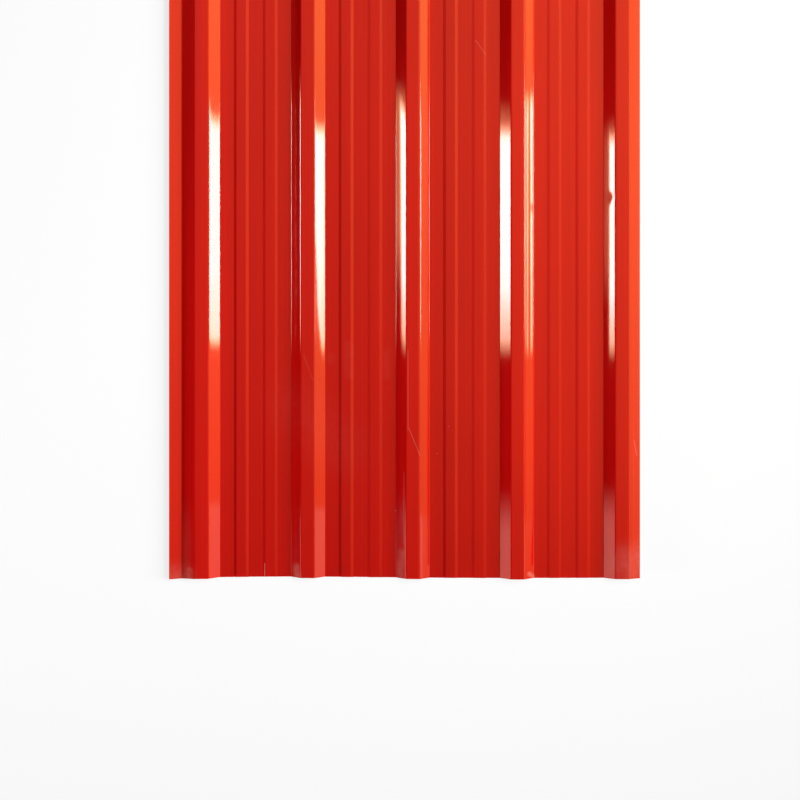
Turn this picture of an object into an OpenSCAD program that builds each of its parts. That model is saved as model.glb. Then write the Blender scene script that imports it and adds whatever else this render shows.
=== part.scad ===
// Trapezoidal ribbed sheet, roll-formed in one piece from a strip of prepainted steel.
// It lies flat with its pans down: X runs across the ribs, Y along them and Z up.

/* [Strip] */
// Length of the sheet along its ribs
sheet_l = 2000; // [500:50:6000]
// Thickness of the steel with its coatings
sheet_t = 0.5; // [0.3:0.05:1]
// Inner radius of the sharp bends
bend_r = 4; // [1:0.25:5]

/* [High ribs] */
// Ribs across the sheet, counting the two lap ribs
rib_count = 5; // [2:1:8]
// Distance from one rib to the next
rib_pitch = 205; // [190:1:300]
// Height from the underside of the pans to the top of the crests
rib_h = 18; // [15:0.5:30]
// Flat crest of an inner rib
crest_w = 26; // [16:0.5:36]
// Flat crest of a lap rib, which can be widened outwards
lap_crest_w = 26; // [16:0.5:40]
// Width of a sloping web, seen from above
web_run = 20; // [14:0.5:28]

/* [Pan stiffeners] */
// Shallow stiffeners in each pan
stiffener_count = 2; // [0:1:2]
// Distance between the stiffeners of a pan
stiffener_pitch = 56.5; // [45:0.5:60]
// Rise of a stiffener above its pan
stiffener_h = 2.2; // [1:0.1:3]
// Flat top of a stiffener
stiffener_top_w = 18; // [10:0.5:22]
// Width of a stiffener's sloping side, seen from above
stiffener_run = 5.5; // [4:0.5:7]

/* [Grooved side lap] */
// Width of the slope from the lap crest down to the groove
groove_run = 27.5; // [16:0.5:36]
// Depth of the groove below the lap crest
groove_d = 9.5; // [6:0.5:12]
// Inner radius of the groove's soft bend
groove_r = 6; // [3:0.5:10]
// Width of the lip from the groove to the sheet's edge
lip_run = 23; // [12:0.5:30]
// Drop of the lip's edge below the lap crest
lip_drop = 2.5; // [0:0.5:4]

/* [Plain side lap] */
// Width of the flange from the lap crest to the sheet's edge
flange_run = 24; // [12:0.5:30]
// Drop of the flange's edge below the lap crest
flange_drop = 9; // [4:0.5:14]

/* [Hidden] */

// Colour of the paint
paint_red = [0.80, 0.14, 0.09];
// Largest turn from one point of a bend to the next, in degrees
bend_step_angle = 8;

// Levels and radii at mid-thickness, where the section is laid out
half_t = sheet_t / 2;
pan_z = half_t;
crest_z = rib_h - half_t;
bend_mid_r = bend_r + half_t;
groove_mid_r = groove_r + half_t;

// Middle of a rib, or of the pan halfway to the next one
function rib_x(i) = i * rib_pitch;

// Corners of the section from left to right, each as [x, z, radius at mid-thickness]
function grooved_lap(x) =
    let (crest_edge = x + crest_w / 2 - lap_crest_w)
    let (groove_x = crest_edge - groove_run)
    [
        [groove_x - lip_run, crest_z - lip_drop, 0],
        [groove_x, crest_z - groove_d, groove_mid_r],
        [crest_edge, crest_z, bend_mid_r]
    ];

function web_down(x) =
    [
        [x + crest_w / 2, crest_z, bend_mid_r],
        [x + crest_w / 2 + web_run, pan_z, bend_mid_r]
    ];

function stiffener(x) =
    let (half_top = stiffener_top_w / 2)
    let (half_base = half_top + stiffener_run)
    [
        [x - half_base, pan_z, bend_mid_r],
        [x - half_top, pan_z + stiffener_h, bend_mid_r],
        [x + half_top, pan_z + stiffener_h, bend_mid_r],
        [x + half_base, pan_z, bend_mid_r]
    ];

function pan_stiffeners(x) =
    let (first_x = x - (stiffener_count - 1) / 2 * stiffener_pitch)
    [for (i = [0 : 1 : stiffener_count - 1]) each stiffener(first_x + i * stiffener_pitch)];

function web_up(x) =
    [
        [x - crest_w / 2 - web_run, pan_z, bend_mid_r],
        [x - crest_w / 2, crest_z, bend_mid_r]
    ];

function plain_lap(x) =
    let (crest_edge = x - crest_w / 2 + lap_crest_w)
    [
        [crest_edge, crest_z, bend_mid_r],
        [crest_edge + flange_run, crest_z - flange_drop, 0]
    ];

function bay(i) =
    concat(web_down(rib_x(i)), pan_stiffeners(rib_x(i + 1 / 2)), web_up(rib_x(i + 1)));

corners = concat(
    grooved_lap(rib_x(0)),
    [for (i = [0 : rib_count - 2]) each bay(i)],
    plain_lap(rib_x(rib_count - 1))
);
last_corner = len(corners) - 1;

// Directions in the section
function heading(from, to) =
    let (step = [to.x - from.x, to.y - from.y])
    step / norm(step);
function turned(d, angle) =
    [d.x * cos(angle) - d.y * sin(angle), d.x * sin(angle) + d.y * cos(angle)];
function left_of(d) = [-d.y, d.x];

// Arc of one bend, on the face that lies this far to the left of mid-thickness
function bend(before, corner, after, side) =
    let (
        way_in = heading(before, corner),
        way_out = heading(corner, after),
        turn = atan2(cross(way_in, way_out), way_in * way_out),
        r = corner[2] * sign(turn),
        start = [corner.x, corner.y] - way_in * r * tan(turn / 2),
        centre = start + left_of(way_in) * r,
        steps = max(1, ceil(abs(turn) / bend_step_angle))
    )
    [for (k = [0 : steps]) centre + left_of(turned(way_in, turn * k / steps)) * (side - r)];

// Square cut at an edge of the strip
function edge_point(corner, way, side) = [corner.x, corner.y] + left_of(way) * side;

// One face of the strip, from the left edge to the right edge
function face(side) =
    concat(
        [edge_point(corners[0], heading(corners[0], corners[1]), side)],
        [for (i = [1 : last_corner - 1]) each bend(corners[i - 1], corners[i], corners[i + 1], side)],
        [edge_point(corners[last_corner], heading(corners[last_corner - 1], corners[last_corner]), side)]
    );

function backwards(points) = [for (i = [len(points) - 1 : -1 : 0]) points[i]];

section = concat(face(half_t), backwards(face(-half_t)));
section_x = [for (point = section) point.x];
middle_x = (min(section_x) + max(section_x)) / 2;

module ribbed_sheet() {
    color(paint_red)
        translate([-middle_x, sheet_l / 2, 0])
        rotate([90, 0, 0])
        linear_extrude(sheet_l)
        polygon(section);
}

ribbed_sheet();
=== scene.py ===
import bpy
import math
from mathutils import Matrix, Vector


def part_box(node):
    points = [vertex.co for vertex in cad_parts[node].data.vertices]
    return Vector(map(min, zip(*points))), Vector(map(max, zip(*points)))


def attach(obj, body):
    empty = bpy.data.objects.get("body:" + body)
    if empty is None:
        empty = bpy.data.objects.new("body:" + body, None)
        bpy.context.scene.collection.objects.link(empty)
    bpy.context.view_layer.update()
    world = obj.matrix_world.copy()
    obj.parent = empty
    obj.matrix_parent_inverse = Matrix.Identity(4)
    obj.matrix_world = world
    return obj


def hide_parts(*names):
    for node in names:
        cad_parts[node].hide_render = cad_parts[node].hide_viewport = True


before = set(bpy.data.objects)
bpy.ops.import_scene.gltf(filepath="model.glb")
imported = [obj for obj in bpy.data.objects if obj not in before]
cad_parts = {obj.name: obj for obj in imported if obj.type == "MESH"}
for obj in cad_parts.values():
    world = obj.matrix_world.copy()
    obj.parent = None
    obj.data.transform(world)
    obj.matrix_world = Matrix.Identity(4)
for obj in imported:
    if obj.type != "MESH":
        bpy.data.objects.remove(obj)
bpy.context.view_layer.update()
scene = bpy.context.scene
scene.view_settings.view_transform = "Standard"


# Strip and rolled section: one strip of steel, painted in the coil and roll-formed cold into five
# high ribs, shallow pan stiffeners and two side laps. The rollers leave stiffeners, bends and webs
# a little off their drawn shape, which is what bends the lights' reflections in them.
sheet_low, sheet_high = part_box("ribbed_sheet")
strip_t = 0.0005
bend_r = 0.004
rib_count = 5
rib_pitch = 0.205
rib_h = 0.018
crest_w = 0.026
lap_crest_w = 0.026
web_run = 0.020
stiffener_count = 2
stiffener_pitch = 0.0565
stiffener_h = 0.0022
stiffener_top_w = 0.018
stiffener_run = 0.0055
groove_run = 0.0275
groove_d = 0.0095
groove_r = 0.006
lip_run = 0.023
lip_drop = 0.0025
flange_run = 0.024
flange_drop = 0.009

# How far the rollers left the bends off their drawn radius: softer at a crest, tighter at a pan
crest_bend_softening = 0.001
pan_bend_tightening = 0.0015

# Mid-thickness levels and radii, and the place of the first rib in the frame
pan_z = strip_t / 2
crest_z = rib_h - strip_t / 2
bend_mid_r = bend_r + strip_t / 2
crest_bend_mid_r = bend_mid_r + crest_bend_softening
pan_bend_mid_r = bend_mid_r - pan_bend_tightening
groove_mid_r = groove_r + strip_t / 2
lip_reach = lap_crest_w - crest_w / 2 + groove_run + lip_run
lip_slope = math.atan2(groove_d - lip_drop, lip_run)
first_rib_x = sheet_low.x + lip_reach + math.sin(lip_slope) * strip_t / 2

# How far the two stiffeners of each pan sprang back
springback = ((0.0006, 0.0010), (0.0006, 0.0012), (0.0006, 0.0012), (0.0013, 0.0011))

# How far webs stand out from flat, at even steps from their left bend to their right one
flat = (0,)
web_3_up = (0, 0.00013, 0.00018, 0.00013, 0)
web_5_up = (0, -0.00016, -0.00022, -0.00016, 0)
web_2_down = (0, 0.000045, 0.00006, 0.000045, 0)
web_4_down_mm = (0, -0.60, -0.49, -0.42, -0.30, -0.17, -0.08, 0.01, 0.13, 0.28, 0.42, 0.54, 0)
web_up_shape = (flat, flat, web_3_up, flat, web_5_up)
web_down_shape = (flat, web_2_down, flat, tuple(0.001 * step for step in web_4_down_mm))

# How far the two bends of a rib's right-hand web lie off their places, and how much softer still
# the bend at the right end of its crest is
web_down_ease = (0, 0, 0, 0.001)
crest_end_softness = (0, 0, 0.0038, 0)


def rib_x(i):
    """Middle of a rib, or of the pan halfway to the next one."""
    return first_rib_x + i * rib_pitch


def section_corners():
    """Corners at mid-thickness from left to right, each as (x, z, radius, shape of the leg before it)."""
    crest_edge = rib_x(0) + crest_w / 2 - lap_crest_w
    groove_x = crest_edge - groove_run
    corners = [
        (groove_x - lip_run, crest_z - lip_drop, 0, flat),
        (groove_x, crest_z - groove_d, groove_mid_r, flat),
        (crest_edge, crest_z, bend_mid_r, flat),
    ]
    for i in range(rib_count - 1):
        crest_end = rib_x(i) + crest_w / 2
        ease = web_down_ease[i]
        crest_end_r = crest_bend_mid_r + crest_end_softness[i]
        corners.append((crest_end - ease, crest_z, crest_end_r, flat))
        corners.append((crest_end + web_run + ease, pan_z, pan_bend_mid_r, web_down_shape[i]))
        for k in range(stiffener_count):
            middle = rib_x(i + 0.5) + (k - (stiffener_count - 1) / 2) * stiffener_pitch
            half_top = stiffener_top_w / 2
            half_base = half_top + stiffener_run
            top_z = pan_z + stiffener_h - springback[i][k]
            corners.append((middle - half_base, pan_z, bend_mid_r, flat))
            corners.append((middle - half_top, top_z, bend_mid_r, flat))
            corners.append((middle + half_top, top_z, bend_mid_r, flat))
            corners.append((middle + half_base, pan_z, bend_mid_r, flat))
        crest_start = rib_x(i + 1) - crest_w / 2
        corners.append((crest_start - web_run, pan_z, pan_bend_mid_r, flat))
        corners.append((crest_start, crest_z, crest_bend_mid_r, web_up_shape[i + 1]))
    crest_edge = rib_x(rib_count - 1) - crest_w / 2 + lap_crest_w
    corners.append((crest_edge, crest_z, bend_mid_r, flat))
    corners.append((crest_edge + flange_run, crest_z - flange_drop, 0, flat))
    return corners


def stand_out(shape, u):
    """How far a leg stands out at this share of its length, on a smooth curve through its steps."""
    place = u * (len(shape) - 1)
    k = min(int(place), max(len(shape) - 2, 0))
    before, start, end, after = (shape[min(max(k + j, 0), len(shape) - 1)] for j in (-1, 0, 1, 2))
    t = place - k
    bend_a = 2 * before - 5 * start + 4 * end - after
    bend_b = 3 * start - before - 3 * end + after
    return start + 0.5 * t * (end - before + t * (bend_a + t * bend_b))


def bend_arc(before, corner, after, radius):
    """Points round the bend at a corner, from the leg before it to the leg after it."""
    turn_step = math.radians(10.5)
    way_in = (corner - before).normalized()
    way_out = (after - corner).normalized()
    turn = math.atan2(way_in.x * way_out.y - way_in.y * way_out.x, way_in.dot(way_out))
    r = math.copysign(radius, turn)
    centre = corner - way_in * r * math.tan(turn / 2) + Vector((-way_in.y, way_in.x)) * r
    steps = max(1, math.ceil(abs(turn) / turn_step))
    arc = []
    for k in range(steps + 1):
        heading = Matrix.Rotation(turn * k / steps, 2) @ way_in
        arc.append(centre - Vector((-heading.y, heading.x)) * r)
    return arc


def section_points():
    """Points along the section, each with how far it stands out."""
    flat_step = 0.014
    web_step = 0.005
    steep_rise = 0.5
    plain_shape_steps = 6
    points_per_step = 2
    corners = section_corners()
    places = [Vector(c[:2]) for c in corners]
    points = [(places[0], 0.0)]
    for i in range(1, len(corners)):
        _, _, radius, shape = corners[i]
        arc = [places[i]]
        if i + 1 < len(corners):
            arc = bend_arc(places[i - 1], places[i], places[i + 1], radius)
        start = points[-1][0]
        leg = arc[0] - start
        steep = abs((places[i] - places[i - 1]).normalized().y) > steep_rise
        pieces = max(1, round(leg.length / (web_step if steep else flat_step)))
        if len(shape) > plain_shape_steps:
            pieces = points_per_step * (len(shape) - 1)
        for k in range(1, pieces):
            u = k / pieces
            points.append((start + leg * u, stand_out(shape, u)))
        points.extend((point, 0.0) for point in arc)
    return points


# Paint: glossy red-orange polyester coat over primer and zinc, baked on in the coil. It carries faint
# lengthwise roller streaks, fine orange peel, a few scratches, rubbed places from handling and pale
# patches along the sheared end. Broad bands across the sheet paint light and shade into its colour:
# lighter on the lip, the first crest and the flange, darker in the groove and in places between.
def new_material(name):
    """An empty material and its tree."""
    material = bpy.data.materials.new(name)
    material.use_nodes = True
    material.node_tree.nodes.clear()
    return material, material.node_tree


def add_node(tree, kind, settings, inputs):
    """One node of a tree, with its properties set and each input either linked or given a value."""
    node = tree.nodes.new(kind)
    for name, value in settings.items():
        setattr(node, name, value)
    for key, value in inputs.items():
        if isinstance(value, bpy.types.NodeSocket):
            tree.links.new(value, node.inputs[key])
        else:
            node.inputs[key].default_value = value
    return node


def calc(tree, operation, *values):
    """A number worked out by a Math node."""
    node = add_node(tree, "ShaderNodeMath", {"operation": operation}, dict(enumerate(values)))
    return node.outputs[0]


def reckon(tree, operation, *values):
    """A vector, or a length, worked out by a Vector Math node."""
    node = add_node(tree, "ShaderNodeVectorMath", {"operation": operation}, dict(enumerate(values)))
    return node.outputs["Value" if operation in ("LENGTH", "DISTANCE", "DOT_PRODUCT") else "Vector"]


def scaled(tree, vector, factor):
    """A vector made longer or shorter by a factor."""
    node = add_node(tree, "ShaderNodeVectorMath", {"operation": "SCALE"}, {0: vector, "Scale": factor})
    return node.outputs["Vector"]


def split(tree, vector):
    """The X, Y and Z of a vector."""
    return add_node(tree, "ShaderNodeSeparateXYZ", {}, {"Vector": vector}).outputs


def ranged(tree, value, low=0.0, high=1.0, start=0.0, end=1.0, smooth=False):
    """A number that goes from start to end while the value goes from low to high."""
    settings = {"interpolation_type": "SMOOTHSTEP" if smooth else "LINEAR"}
    inputs = {"Value": value, "From Min": low, "From Max": high, "To Min": start, "To Max": end}
    return add_node(tree, "ShaderNodeMapRange", settings, inputs).outputs["Result"]


def noise(tree, place, scale, detail):
    """A noise from 0 to 1 over a place."""
    inputs = {"Vector": place, "Scale": scale, "Detail": detail}
    return add_node(tree, "ShaderNodeTexNoise", {}, inputs).outputs["Fac"]


def toned(tree, value, stops):
    """A colour from a ramp, whose stops each give a share from 0 to 1 and the colour there."""
    ramp = add_node(tree, "ShaderNodeValToRGB", {}, {"Fac": value})
    elements = ramp.color_ramp.elements
    first, *between, last = stops
    for element, (share, colour) in ((elements[0], first), (elements[1], last)):
        element.position = share
        element.color = (*colour, 1)
    for share, colour in between:
        elements.new(share).color = (*colour, 1)
    return ramp.outputs["Color"]


def mix_colours(tree, share, first, second, blend_type="MIX"):
    """The first colour with a share of the second mixed into it."""
    settings = {"data_type": "RGBA", "blend_type": blend_type}
    return add_node(tree, "ShaderNodeMix", settings, {0: share, 6: first, 7: second}).outputs[2]


def coat_colour_and_painted_shade(tree, place, streak):
    """Red with roller streaks and slow clouds, and broad bands of painted light and shade across it."""
    deep_red = (0.56, 0.0034, 0.0026)
    light_red = (0.64, 0.0046, 0.0034)
    streak_share = 0.6
    cloud_share = 0.4
    streaks = calc(tree, "MULTIPLY", streak, streak_share)
    clouds = calc(tree, "MULTIPLY", noise(tree, place, scale=3.5, detail=2), cloud_share)
    tone = toned(tree, calc(tree, "ADD", streaks, clouds), ((0.3, deep_red), (0.7, light_red)))
    # Painted light and shade: the red is made lighter or darker in broad bands across the sheet, by how the
    # light falls there
    painted_light_and_shade_bands = (
        (sheet_low.x, 1.14),
        (-0.424, 0.9),
        (-0.397, 1.14),
        (-0.33, 1.02),
        (-0.11, 0.95),
        (0, 1.0),
        (0.08, 0.91),
        (0.2, 1.03),
        (0.37, 1.06),
        (0.405, 0.93),
        (sheet_high.x, 1.16),
    )
    width = sheet_high.x - sheet_low.x
    stops = [((x - sheet_low.x) / width, (level, level, level)) for x, level in painted_light_and_shade_bands]
    across = ranged(tree, split(tree, place)["X"], low=sheet_low.x, high=sheet_high.x)
    return mix_colours(tree, 1.0, tone, toned(tree, across, stops), "MULTIPLY")


def mark(tree, place, start, end, half_width, fade):
    """A mask that is 1 on the line from start to end and fades out beside it, reckoned from above."""
    begin = Vector((*start, 0))
    along = Vector((*end, 0)) - begin
    level = reckon(tree, "MULTIPLY", place, (1, 1, 0))
    off = reckon(tree, "SUBTRACT", level, tuple(begin))
    if along.length:
        share = calc(tree, "DIVIDE", reckon(tree, "DOT_PRODUCT", off, tuple(along)), along.length_squared)
        share = add_node(tree, "ShaderNodeClamp", {}, {"Value": share}).outputs[0]
        off = reckon(tree, "SUBTRACT", off, scaled(tree, tuple(along), share))
    beside = reckon(tree, "LENGTH", off)
    return ranged(tree, beside, half_width, half_width + fade, start=1.0, end=0.0, smooth=True)


def scratch_mask(tree, place):
    """Scratches and nicks, each from one place on the sheet to another, and how clear each is."""
    half_width = 0.0003
    fade = 0.0008
    mask = 0.0
    for start, end, clearness in (
        ((0.0056, -0.7043), (0.0270, -0.7569), 0.14),
        ((0.0034, -0.5522), (0.0036, -0.7082), 0.12),
        ((0.1376, 0.0588), (0.1573, 0.0312), 0.12),
        ((-0.2767, -0.9685), (-0.2767, -0.9941), 0.35),
        ((-0.0043, -0.7900), (-0.0043, -0.9300), 0.10),
        ((-0.1991, -0.5620), (-0.1815, -0.6107), 0.06),
        ((0.4473, -0.7279), (0.4532, -0.7572), 0.2),
        ((-0.0198, -0.8662), (-0.0198, -0.8662), 1.0),
        ((0.0845, -0.7009), (0.0845, -0.7009), 0.4),
        ((0.0609, -0.7540), (0.0609, -0.7540), 0.4),
        ((-0.4606, -0.9051), (-0.4606, -0.9075), 1.0),
    ):
        line = mark(tree, place, start, end, half_width, fade)
        mask = calc(tree, "MAXIMUM", mask, calc(tree, "MULTIPLY", line, clearness))
    return mask


def rub_and_end_patch_mask(tree, place):
    """Rubbed places and pale patches along the sheared end, each with its spread and how clear it is,
    broken up into smears.
    """
    half_width = 0.001
    smear_strength = 2.0
    mask = 0.0
    for start, end, spread, clearness in (
        ((-0.1478, -0.5611), (-0.1478, -0.5711), 0.012, 0.014),
        ((-0.1123, -0.5415), (-0.1123, -0.6005), 0.014, 0.014),
        ((-0.0376, -0.5552), (-0.0376, -0.6005), 0.014, 0.012),
        # From here on all but one lie as pale patches along the sheared end
        ((-0.4227, -0.9800), (-0.4190, -1.0000), 0.011, 0.13),
        ((-0.2140, -0.9740), (-0.2120, -1.0000), 0.010, 0.20),
        ((-0.0095, -0.9450), (-0.0125, -1.0000), 0.009, 0.15),
        ((0.4380, -0.9700), (0.4600, -0.9700), 0.060, 0.10),
        ((-0.2150, -0.6600), (-0.1300, -0.7400), 0.090, 0.012),
        ((-0.4600, -1.0000), (-0.4450, -1.0000), 0.050, 0.09),
        ((0.2420, -0.9900), (0.2500, -0.9960), 0.006, 0.20),
    ):
        patch = mark(tree, place, start, end, half_width, spread)
        mask = calc(tree, "MAXIMUM", mask, calc(tree, "MULTIPLY", patch, clearness))
    smears = calc(tree, "MULTIPLY", noise(tree, place, scale=70, detail=3), smear_strength)
    return calc(tree, "MULTIPLY", mask, smears)


def paint_material():
    pale_mark_pink = (0.86, 0.44, 0.36, 1)
    streaks_per_metre = (240, 1.6, 240)
    scratch_dulling = 0.3
    material, tree = new_material("red_coil_paint")
    place = tree.nodes.new("ShaderNodeTexCoord").outputs["Object"]
    stretched = add_node(tree, "ShaderNodeMapping", {}, {"Vector": place, "Scale": streaks_per_metre})
    streak = noise(tree, stretched.outputs[0], scale=1, detail=3)
    scratches = scratch_mask(tree, place)
    pale_marks = calc(tree, "MAXIMUM", scratches, rub_and_end_patch_mask(tree, place))
    colour = mix_colours(tree, pale_marks, coat_colour_and_painted_shade(tree, place, streak), pale_mark_pink)

    # Gloss, a little duller in the streaks and scratches, and fine orange peel
    roughness = ranged(tree, streak, low=0.3, high=0.7, start=0.04, end=0.07)
    roughness = calc(tree, "ADD", roughness, calc(tree, "MULTIPLY", scratches, scratch_dulling))
    peel = noise(tree, place, scale=420, detail=1)
    bump = add_node(tree, "ShaderNodeBump", {}, {"Strength": 0.004, "Distance": 0.0003, "Height": peel})
    shader = add_node(
        tree,
        "ShaderNodeBsdfPrincipled",
        {},
        {"Base Color": colour, "Roughness": roughness, "IOR": 1.5, "Normal": bump.outputs["Normal"]},
    )
    add_node(tree, "ShaderNodeOutputMaterial", {}, {"Surface": shader.outputs[0]})
    return material


# Back coat: thin pale grey epoxy on the strip's underside, rolled on in the coil before the strip
# is formed. It is matt and slightly speckled.
def back_coat_material():
    dark_grey = (0.46, 0.47, 0.47)
    pale_grey = (0.54, 0.55, 0.54)
    material, tree = new_material("grey_back_coat")
    place = tree.nodes.new("ShaderNodeTexCoord").outputs["Object"]
    speckle = noise(tree, place, scale=160, detail=4)
    tone = toned(tree, speckle, ((0.35, dark_grey), (0.65, pale_grey)))
    shader = add_node(tree, "ShaderNodeBsdfPrincipled", {}, {"Base Color": tone, "Roughness": 0.5})
    add_node(tree, "ShaderNodeOutputMaterial", {}, {"Surface": shader.outputs[0]})
    return material


# Cut edge: bare steel between two films of zinc, where the coil was slit to the strip's width and
# the sheet was sheared to length.
def cut_edge_material():
    dull_steel = (0.30, 0.28, 0.27)
    bright_zinc = (0.62, 0.62, 0.62)
    material, tree = new_material("sheared_steel")
    place = tree.nodes.new("ShaderNodeTexCoord").outputs["Object"]
    grain = noise(tree, place, scale=900, detail=2)
    tone = toned(tree, grain, ((0.0, dull_steel), (1.0, bright_zinc)))
    shader = add_node(
        tree, "ShaderNodeBsdfPrincipled", {}, {"Base Color": tone, "Metallic": 1.0, "Roughness": 0.4}
    )
    add_node(tree, "ShaderNodeOutputMaterial", {}, {"Surface": shader.outputs[0]})
    return material


# Rolling and shearing: the section is drawn out along the sheet's length, given its thickness,
# dented where it was knocked and cut off at the near end by a shear that bowed in a little.
def bell(tree, off, sharpness):
    """A hump that is 1 where off is 0 and dies away on both sides."""
    return calc(tree, "EXPONENT", calc(tree, "MULTIPLY", calc(tree, "MULTIPLY", off, off), -sharpness))


def swept_section(tree, given):
    """The section drawn out over rows along the length, which are crowded where the dents need them."""
    section = add_node(tree, "GeometryNodeMeshToCurve", {}, {"Mesh": given["Section"]})
    line = tree.nodes.new("GeometryNodeCurvePrimitiveLine")
    rows = add_node(
        tree, "GeometryNodeResampleCurve", {}, {"Curve": line.outputs["Curve"], "Count": given["Rows"]}
    )
    along = tree.nodes.new("GeometryNodeSplineParameter").outputs["Factor"]
    step = ranged(tree, along, start=given["Crowding from"], end=given["Crowding to"])
    even = calc(tree, "MULTIPLY", step, given["Even share"])
    cubed = calc(tree, "MULTIPLY", calc(tree, "POWER", step, 3.0), given["Cubed share"])
    row_y = calc(tree, "ADD", calc(tree, "ADD", even, cubed), given["Crowded at"])
    row = add_node(tree, "ShaderNodeCombineXYZ", {}, {"Y": row_y}).outputs[0]
    path = add_node(
        tree, "GeometryNodeSetPosition", {}, {"Geometry": rows.outputs["Curve"], "Position": row}
    )
    swept = add_node(
        tree,
        "GeometryNodeCurveToMesh",
        {},
        {"Curve": path.outputs["Geometry"], "Profile Curve": section.outputs["Curve"]},
    )
    return swept.outputs["Mesh"]


def raised(tree, given, position):
    """How far the surface is raised by oil-canning and webs out of true, less the depth of the knocks."""
    waves_per_metre = (9.0, 3.2, 0.0)
    wave_level = 0.3
    waves = add_node(
        tree,
        "ShaderNodeTexNoise",
        {"noise_dimensions": "4D"},
        {
            "Vector": reckon(tree, "MULTIPLY", position, waves_per_metre),
            "W": given["Seed"],
            "Scale": 1.0,
            "Detail": 1.0,
        },
    ).outputs["Fac"]
    lift = calc(tree, "MULTIPLY", calc(tree, "SUBTRACT", waves, wave_level), given["Oil-canning depth"])
    away = calc(tree, "ABSOLUTE", calc(tree, "SUBTRACT", split(tree, position)["Y"], given["Warped at"]))
    held = ranged(
        tree, away, given["Warped within"], given["Warp fades by"], start=1.0, end=0.0, smooth=True
    )
    named = add_node(
        tree, "GeometryNodeInputNamedAttribute", {"data_type": "FLOAT"}, {"Name": "out_of_true"}
    )
    warp = calc(tree, "MULTIPLY", named.outputs["Attribute"], held)
    knock = 0.0
    for name in ("Dent 1", "Dent 2"):
        apart = reckon(tree, "DISTANCE", position, given[name])
        hollow = bell(tree, calc(tree, "DIVIDE", apart, given[f"{name} radius"]), sharpness=1.0)
        knock = calc(tree, "MULTIPLY_ADD", hollow, given[f"{name} depth"], knock)
    return calc(tree, "ADD", calc(tree, "SUBTRACT", lift, knock), warp)


def drawn_in(tree, given, position):
    """How the sheared end is drawn in: it bows in from a straight cut and is a little ragged."""
    rag_frequency = 130.0
    apart = split(tree, position)
    off = calc(tree, "SUBTRACT", apart["X"], given["Cut bow middle"])
    off = calc(tree, "DIVIDE", off, given["Cut bow width"])
    bowed = calc(tree, "MULTIPLY", bell(tree, off, sharpness=0.5), given["Cut bow"])
    across = calc(tree, "MULTIPLY", apart["X"], rag_frequency)
    rags = add_node(tree, "ShaderNodeTexNoise", {"noise_dimensions": "1D"}, {"W": across}).outputs["Fac"]
    cut = calc(tree, "ADD", bowed, calc(tree, "MULTIPLY", rags, given["Cut raggedness"]))
    from_end = calc(tree, "SUBTRACT", apart["Y"], given["Start"])
    close = ranged(tree, from_end, high=given["Cut reach"], start=1.0, end=0.0)
    trim = calc(tree, "MULTIPLY", cut, close)
    return add_node(tree, "ShaderNodeCombineXYZ", {}, {"Y": trim}).outputs[0]


def coated_strip(tree, given, surface, normal):
    """The strip in its thickness: the underside, the painted face raised off it, and the cut edge."""
    weld_distance = 0.00002
    half_down = scaled(tree, normal, calc(tree, "MULTIPLY", given["Thickness"], -0.5))
    under = add_node(tree, "GeometryNodeSetPosition", {}, {"Geometry": surface, "Offset": half_down})
    upper = add_node(
        tree,
        "GeometryNodeExtrudeMesh",
        {"mode": "FACES"},
        {"Mesh": under.outputs["Geometry"], "Offset Scale": given["Thickness"], "Individual": False},
    )
    turned = add_node(tree, "GeometryNodeFlipFaces", {}, {"Mesh": under.outputs["Geometry"]})
    both = tree.nodes.new("GeometryNodeJoinGeometry")
    tree.links.new(turned.outputs["Mesh"], both.inputs["Geometry"])
    tree.links.new(upper.outputs["Mesh"], both.inputs["Geometry"])
    closed = add_node(
        tree,
        "GeometryNodeMergeByDistance",
        {},
        {"Geometry": both.outputs["Geometry"], "Distance": weld_distance},
    )
    smooth = add_node(tree, "GeometryNodeSetShadeSmooth", {}, {"Geometry": closed.outputs["Geometry"]})
    crisp = add_node(
        tree,
        "GeometryNodeSetShadeSmooth",
        {},
        {"Geometry": smooth.outputs["Geometry"], "Selection": upper.outputs["Side"], "Shade Smooth": False},
    )
    whole = add_node(tree, "GeometryNodeRealizeInstances", {}, {"Geometry": crisp.outputs["Geometry"]})
    geometry = whole.outputs["Geometry"]
    for name, faces in (("Back coat", None), ("Paint", "Top"), ("Cut edge", "Side")):
        coat = add_node(
            tree, "GeometryNodeSetMaterial", {}, {"Geometry": geometry, "Material": given[name]}
        )
        if faces:
            tree.links.new(upper.outputs[faces], coat.inputs["Selection"])
        geometry = coat.outputs["Geometry"]
    return geometry


def roll_forming_tree(settings):
    """The tree that makes the sheet from its section, with one named input for each setting."""
    kinds = {int: "Int", float: "Float", tuple: "Vector", bpy.types.Material: "Material"}
    tree = bpy.data.node_groups.new("roll_forming", "GeometryNodeTree")
    tree.interface.new_socket("Section", in_out="INPUT", socket_type="NodeSocketGeometry")
    for name, value in settings.items():
        kind = kinds[type(value)]
        tree.interface.new_socket(name, in_out="INPUT", socket_type=f"NodeSocket{kind}")
    tree.interface.new_socket("Sheet", in_out="OUTPUT", socket_type="NodeSocketGeometry")
    given = tree.nodes.new("NodeGroupInput").outputs
    position = tree.nodes.new("GeometryNodeInputPosition").outputs[0]
    normal = tree.nodes.new("GeometryNodeInputNormal").outputs[0]
    push = scaled(tree, normal, raised(tree, given, position))
    offset = reckon(tree, "ADD", push, drawn_in(tree, given, position))
    shaped = add_node(
        tree, "GeometryNodeSetPosition", {}, {"Geometry": swept_section(tree, given), "Offset": offset}
    )
    geometry = coated_strip(tree, given, shaped.outputs["Geometry"], normal)
    out = tree.nodes.new("NodeGroupOutput")
    tree.links.new(geometry, out.inputs["Sheet"])
    return tree


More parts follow.
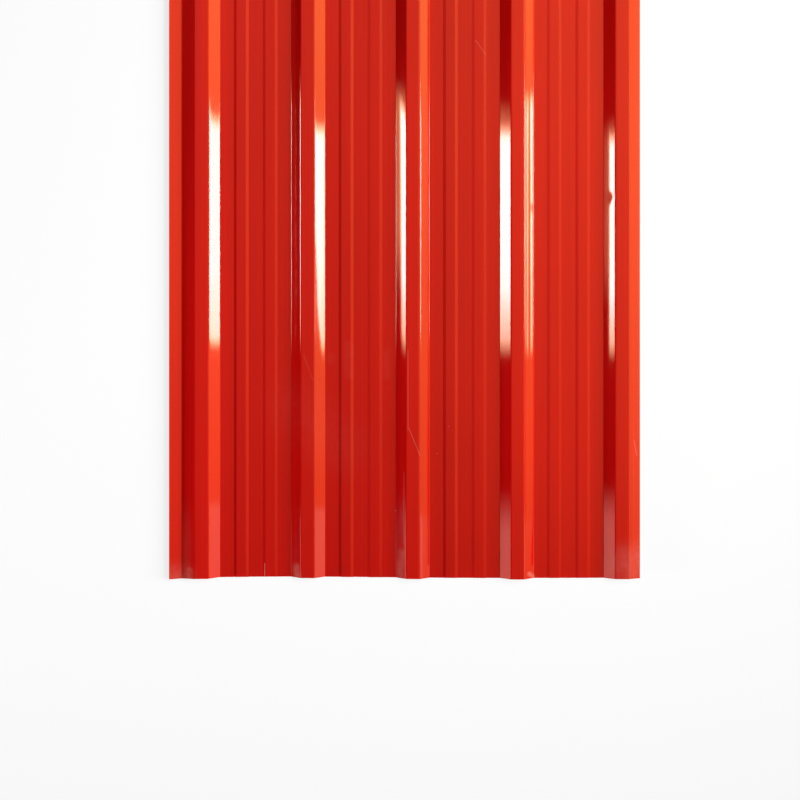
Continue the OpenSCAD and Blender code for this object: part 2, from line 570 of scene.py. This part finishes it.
# The section lies in the mesh as a curve's profile does, with its height along -Y
section = section_points()
section_mesh = bpy.data.meshes.new("rolled_section")
section_mesh.from_pydata(
    [(p.x, -p.y, 0) for p, _ in section], [(k, k + 1) for k in range(len(section) - 1)], []
)
out_of_true = section_mesh.attributes.new("out_of_true", "FLOAT", "POINT")
out_of_true.data.foreach_set("value", [out for _, out in section])
sheet = bpy.data.objects.new("painted_sheet", section_mesh)
scene.collection.objects.link(sheet)

# Row spacing along the sheet: fine at the knocks, wide at the far end
knock_y = -0.262
even_share = 0.20
near_reach = knock_y - sheet_low.y
far_reach = sheet_high.y - knock_y
cubed_share = near_reach - even_share


def crowding(reach):
    """The step whose even and cubed shares add up to this distance."""
    rounds = 30
    step = 1.0
    for _ in range(rounds):
        past = even_share * step + cubed_share * step**3 - reach
        step -= past / (even_share + 3 * cubed_share * step**2)
    return step


settings = {
    "Rows": 130,
    "Start": sheet_low.y,
    "Crowding from": -1.0,
    "Crowding to": crowding(far_reach),
    "Crowded at": knock_y,
    "Even share": even_share,
    "Cubed share": cubed_share,
    "Thickness": strip_t,
    "Oil-canning depth": 0.0005,
    "Seed": 4.0,
    "Warped at": knock_y,
    "Warped within": 0.40,
    "Warp fades by": 0.70,
    "Dent 1": (0.2550, -0.2700, 0.0010),
    "Dent 1 radius": 0.007,
    "Dent 1 depth": 0.00026,
    "Dent 2": (0.4085, -0.2515, 0.0130),
    "Dent 2 radius": 0.0085,
    "Dent 2 depth": 0.0005,
    "Cut bow": 0.005,
    "Cut bow middle": -0.26,
    "Cut bow width": 0.20,
    "Cut reach": 0.12,
    "Cut raggedness": 0.0008,
    "Paint": paint_material(),
    "Back coat": back_coat_material(),
    "Cut edge": cut_edge_material(),
}
forming = sheet.modifiers.new("roll_forming", "NODES")
forming.node_group = roll_forming_tree(settings)
for socket in forming.node_group.interface.items_tree:
    if socket.name in settings:
        forming[socket.identifier] = settings[socket.name]
weighting = sheet.modifiers.new("flat_faces_first", "WEIGHTED_NORMAL")
weighting.keep_sharp = True
weighting.weight = 100
depsgraph = bpy.context.evaluated_depsgraph_get()
rolled = bpy.data.meshes.new_from_object(
    sheet.evaluated_get(depsgraph), preserve_all_data_layers=True, depsgraph=depsgraph
)
sheet.modifiers.clear()
sheet.data = rolled

# The swept mesh begins with an empty slot that no face uses
rolled.materials.pop(index=0)
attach(sheet, "root")
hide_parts("ribbed_sheet")


# Floor: plain pale studio floor that the sheet lies on, a hair below its underside. It takes the
# sheet's shadow, and a share of plain white lets the rest of it run out to white for the camera.
floor_half = 20
floor_gap = 0.0005
white_share = 0.72
white_strength = 1.08
floor_mesh = bpy.data.meshes.new("floor")
floor_corners = [(x * floor_half, y * floor_half, 0) for x, y in ((-1, -1), (1, -1), (1, 1), (-1, 1))]
floor_mesh.from_pydata(floor_corners, [], [(0, 1, 2, 3)])
floor = bpy.data.objects.new("floor", floor_mesh)
floor.location.z = sheet_low.z - floor_gap
scene.collection.objects.link(floor)
pale, tree = new_material("pale_floor")
rays = tree.nodes.new("ShaderNodeLightPath").outputs
matt = add_node(tree, "ShaderNodeBsdfDiffuse", {}, {"Color": (0.82, 0.82, 0.82, 1)})
white = add_node(tree, "ShaderNodeEmission", {}, {"Color": (1, 1, 1, 1), "Strength": white_strength})
share = calc(tree, "MULTIPLY", rays["Is Camera Ray"], white_share)
mixed = add_node(tree, "ShaderNodeMixShader", {}, {0: share, 1: matt.outputs[0], 2: white.outputs[0]})
add_node(tree, "ShaderNodeOutputMaterial", {}, {"Surface": mixed.outputs[0]})
floor_mesh.materials.append(pale)


# Lights: two wide suns at the right model the ribs, and three soft spots even out the light along
# the sheet. Two softboxes, a warm strip, a glow and two cards stand upright beside the sheet and
# only show as reflections in its webs.
def sun(name, elevation, azimuth, spread, strength):
    """A wide sun lamp that lights the object's colour but isn't mirrored in its gloss."""
    lamp = bpy.data.lights.new(name, "SUN")
    lamp.angle = math.radians(spread)
    lamp.energy = strength
    obj = bpy.data.objects.new(name, lamp)
    up, around = math.radians(elevation), math.radians(azimuth)
    towards = Vector((math.cos(up) * math.cos(around), math.cos(up) * math.sin(around), math.sin(up)))
    obj.rotation_euler = towards.to_track_quat("Z", "Y").to_euler()
    obj.visible_glossy = False
    scene.collection.objects.link(obj)


def spot(name, place, target, cone, power, size):
    """A soft spot lamp aimed at a point, which isn't mirrored in the gloss either."""
    lamp = bpy.data.lights.new(name, "SPOT")
    lamp.energy = power
    lamp.spot_size = math.radians(cone)
    lamp.spot_blend = 1.0
    lamp.shadow_soft_size = size
    obj = bpy.data.objects.new(name, lamp)
    obj.location = place
    obj.rotation_euler = (obj.location - Vector(target)).to_track_quat("Z", "Y").to_euler()
    obj.visible_glossy = False
    scene.collection.objects.link(obj)


sun("mid_sun", elevation=45, azimuth=5, spread=30, strength=1.55)
sun("low_sun", elevation=22, azimuth=5, spread=25, strength=1.32)
spot("far_spot", (1.9, 1.2, 3.0), target=(0.3, 0.2, 0), cone=50, power=320, size=0.6)
spot("right_spot", (2.2, -1.2, 1.4), target=(0.3, -0.8, 0), cone=50, power=47, size=0.6)
spot("low_left_spot", (-4.5, -1.6, 0.58), target=(0.2, -0.7, 0), cone=26, power=500, size=0.4)


def card_glow(tree, near, far, foot, head):
    """How brightly a card glows at each place, from 0 to 1."""
    apart = split(tree, tree.nodes.new("ShaderNodeTexCoord").outputs["Object"])
    height = head["at"] - foot["at"]
    up = calc(tree, "DIVIDE", calc(tree, "SUBTRACT", apart["Z"], foot["at"]), height)
    near_side = calc(tree, "MULTIPLY_ADD", up, near["lean"], near["at"])
    if "dip" in near:
        off = calc(tree, "SUBTRACT", apart["Z"], near["dip_at"])
        dip = bell(tree, calc(tree, "DIVIDE", off, near["dip_within"]), sharpness=1.0)
        near_side = calc(tree, "MULTIPLY_ADD", dip, near["dip"], near_side)
    far_side = calc(tree, "MULTIPLY_ADD", up, far["lean"], far["at"])
    if "bow" in far:
        arch = calc(tree, "MULTIPLY", up, calc(tree, "SUBTRACT", 1.0, up))
        far_side = calc(tree, "SUBTRACT", far_side, calc(tree, "MULTIPLY", arch, 4 * far["bow"]))
    before_far = calc(tree, "SUBTRACT", far["at"], apart["Y"])
    foot_side = calc(tree, "MULTIPLY_ADD", before_far, foot["climb"], foot["at"])
    in_from_near = calc(tree, "SUBTRACT", apart["Y"], near_side)
    level = 1.0
    for inside, side in (
        (in_from_near, near),
        (calc(tree, "SUBTRACT", far_side, apart["Y"]), far),
        (calc(tree, "SUBTRACT", apart["Z"], foot_side), foot),
        (calc(tree, "SUBTRACT", head["at"], apart["Z"]), head),
    ):
        if side["fade"]:
            level = calc(tree, "MULTIPLY", ranged(tree, inside, high=side["fade"], smooth=True), level)
    if "dim" in near:
        full = ranged(tree, in_from_near, near["fade"], near["full"], start=near["dim"])
        level = calc(tree, "MULTIPLY", full, level)
    return level


def card(name, x, near, far, foot, head, colour, edge_colour, strength):
    """An upright glowing card beside the sheet, mirrored in its gloss only.

    Each side gives its place and over how far its glow comes up from there. The near and far sides
    also lean by so much at the top, and the foot climbs by so much per metre towards the near side.
    A near side may begin dim and come up to full at a distance, and may dip in around one height.
    A far side may bow in at half its height. The glow has its edge colour where it is weak.
    """
    edge_tint_power = 2.5
    mesh = bpy.data.meshes.new(name)
    corners = [
        (near["at"], foot["at"]),
        (far["at"], foot["at"]),
        (far["at"] + far["lean"], head["at"]),
        (near["at"] + near["lean"], head["at"]),
    ]
    mesh.from_pydata([(x, y, z) for y, z in corners], [], [(0, 1, 2, 3)])
    obj = bpy.data.objects.new(name, mesh)
    scene.collection.objects.link(obj)
    material, tree = new_material(name + "_glow")
    level = card_glow(tree, near, far, foot, head)
    tint = mix_colours(tree, calc(tree, "POWER", level, edge_tint_power), (*edge_colour, 1), (*colour, 1))
    power = calc(tree, "MULTIPLY", level, strength)
    shine = add_node(tree, "ShaderNodeEmission", {}, {"Color": tint, "Strength": power})
    clear = tree.nodes.new("ShaderNodeBsdfTransparent")
    both = add_node(tree, "ShaderNodeAddShader", {}, {0: shine.outputs[0], 1: clear.outputs[0]})
    add_node(tree, "ShaderNodeOutputMaterial", {}, {"Surface": both.outputs[0]})
    mesh.materials.append(material)
    obj.visible_camera = False
    obj.visible_shadow = False
    obj.visible_diffuse = False


right_x = 1.7
left_x = -1.8
card_gap = 0.01
card(
    "right_softbox",
    right_x,
    near={
        "at": -0.535,
        "fade": 0.06,
        "lean": 0.11,
        "dim": 0.85,
        "full": 0.34,
        "dip": 0.42,
        "dip_at": 0.46,
        "dip_within": 0.07,
    },
    far={"at": 0.42, "fade": 0.077, "lean": 0.19, "bow": 0.06},
    foot={"at": 0.228, "fade": 0.12, "climb": 0.03},
    head={"at": 0.755, "fade": 0},
    colour=(1, 0.86, 0.86),
    edge_colour=(1, 0.88, 0.42),
    strength=25.5,
)
card(
    "right_warm_strip",
    right_x - card_gap,
    near={"at": -0.34, "fade": 0.25, "lean": 0},
    far={"at": 0.42, "fade": 0.08, "lean": 0},
    foot={"at": 0.275, "fade": 0.04, "climb": 0},
    head={"at": 0.355, "fade": 0.05},
    colour=(1, 0.84, 0.42),
    edge_colour=(1, 0.84, 0.42),
    strength=8,
)
card(
    "left_softbox",
    left_x,
    near={
        "at": -0.49,
        "fade": 0.10,
        "lean": 0,
        "dim": 0.66,
        "full": 0.29,
        "dip": 0.05,
        "dip_at": 0.25,
        "dip_within": 0.08,
    },
    far={"at": 0.527, "fade": 0.08, "lean": 0, "bow": 0.062},
    foot={"at": 0.228, "fade": 0.09, "climb": 0.045},
    head={"at": 0.87, "fade": 0.06},
    colour=(1, 0.90, 0.86),
    edge_colour=(1, 0.60, 0.32),
    strength=26,
)
card(
    "left_glow",
    left_x - card_gap,
    near={"at": -0.29, "fade": 0.30, "lean": 0},
    far={"at": 0.56, "fade": 0.12, "lean": 0},
    foot={"at": 0.15, "fade": 0.05, "climb": 0},
    head={"at": 1.25, "fade": 0.6},
    colour=(1, 0.42, 0.20),
    edge_colour=(1, 0.42, 0.20),
    strength=6,
)
card(
    "right_pale_card",
    right_x,
    near={"at": -1.8, "fade": 0, "lean": 0},
    far={"at": -1.05, "fade": 0.03, "lean": 0},
    foot={"at": 0.11, "fade": 0.12, "climb": 0},
    head={"at": 0.8, "fade": 0},
    colour=(1, 1, 1),
    edge_colour=(1, 1, 1),
    strength=0.85,
)
card(
    "left_rose_card",
    left_x,
    near={"at": -2.4, "fade": 0, "lean": 0},
    far={"at": -0.99, "fade": 0.2, "lean": 0},
    foot={"at": 0.27, "fade": 0.15, "climb": 0},
    head={"at": 1.3, "fade": 0.4},
    colour=(1, 0.40, 0.33),
    edge_colour=(1, 0.40, 0.33),
    strength=4.5,
)


# Surroundings: an empty studio, plain white to the camera. The sheet's gloss mirrors it dark at the
# left and warm at the right, warmest some way up towards its far end, and little other light
# comes from it.
world = bpy.data.worlds.new("studio")
scene.world = world
world.use_nodes = True
tree = world.node_tree
tree.nodes.clear()
dim_strength = 0.05
rays = tree.nodes.new("ShaderNodeLightPath").outputs
apart = split(tree, tree.nodes.new("ShaderNodeTexCoord").outputs["Generated"])
room = toned(
    tree,
    ranged(tree, apart["X"], low=-1.0, high=1.0),
    (
        (0.0, (0, 0, 0)),
        (0.14, (0, 0, 0)),
        (0.43, (0.20, 0.17, 0.09)),
        (0.5, (0.25, 0.17, 0.08)),
        (0.58, (0.36, 0.29, 0.12)),
        (0.70, (0.48, 0.42, 0.15)),
        (0.85, (0.55, 0.50, 0.15)),
        (0.91, (1.05, 1.0, 0.27)),
        (1.0, (0.85, 0.80, 0.22)),
    ),
)
ahead = ranged(tree, apart["Y"], low=-0.2, high=0.35, start=0.7, end=2.6)
beyond = ranged(tree, apart["Y"], low=0.42, high=0.65, start=1.0, end=0.3)
warmth = calc(tree, "MULTIPLY", ahead, beyond)
gloss = add_node(tree, "ShaderNodeBackground", {}, {"Color": room, "Strength": warmth})
dim = add_node(tree, "ShaderNodeBackground", {}, {"Color": (1, 1, 1, 1), "Strength": dim_strength})
bright = add_node(tree, "ShaderNodeBackground", {}, {"Color": (1, 1, 1, 1), "Strength": 1.0})
mixed = add_node(
    tree, "ShaderNodeMixShader", {}, {0: rays["Is Glossy Ray"], 1: dim.outputs[0], 2: gloss.outputs[0]}
)
mixed = add_node(
    tree, "ShaderNodeMixShader", {}, {0: rays["Is Camera Ray"], 1: mixed.outputs[0], 2: bright.outputs[0]}
)
add_node(tree, "ShaderNodeOutputWorld", {}, {"Surface": mixed.outputs[0]})


# Camera: straight down over the sheet's near half, so that its far end runs out of the picture. It
# stands a little nearer to the grooved lap and is turned slightly towards the plain one.
image_side = 800
camera_height = 2.0
camera_x = -0.0595
camera_turn = math.radians(1.37)
focal_pixels = 1017.8
sensor = 36.0
cut_pixel_y = 578.8
camera_data = bpy.data.cameras.new("camera")
camera_data.sensor_width = sensor
camera_data.lens = sensor * focal_pixels / image_side
camera = bpy.data.objects.new("camera", camera_data)
below_centre = (cut_pixel_y - image_side / 2) * camera_height / focal_pixels
camera.location = (camera_x, sheet_low.y + below_centre, camera_height)
camera.rotation_euler = (0, -camera_turn, 0)
scene.collection.objects.link(camera)
scene.camera = camera
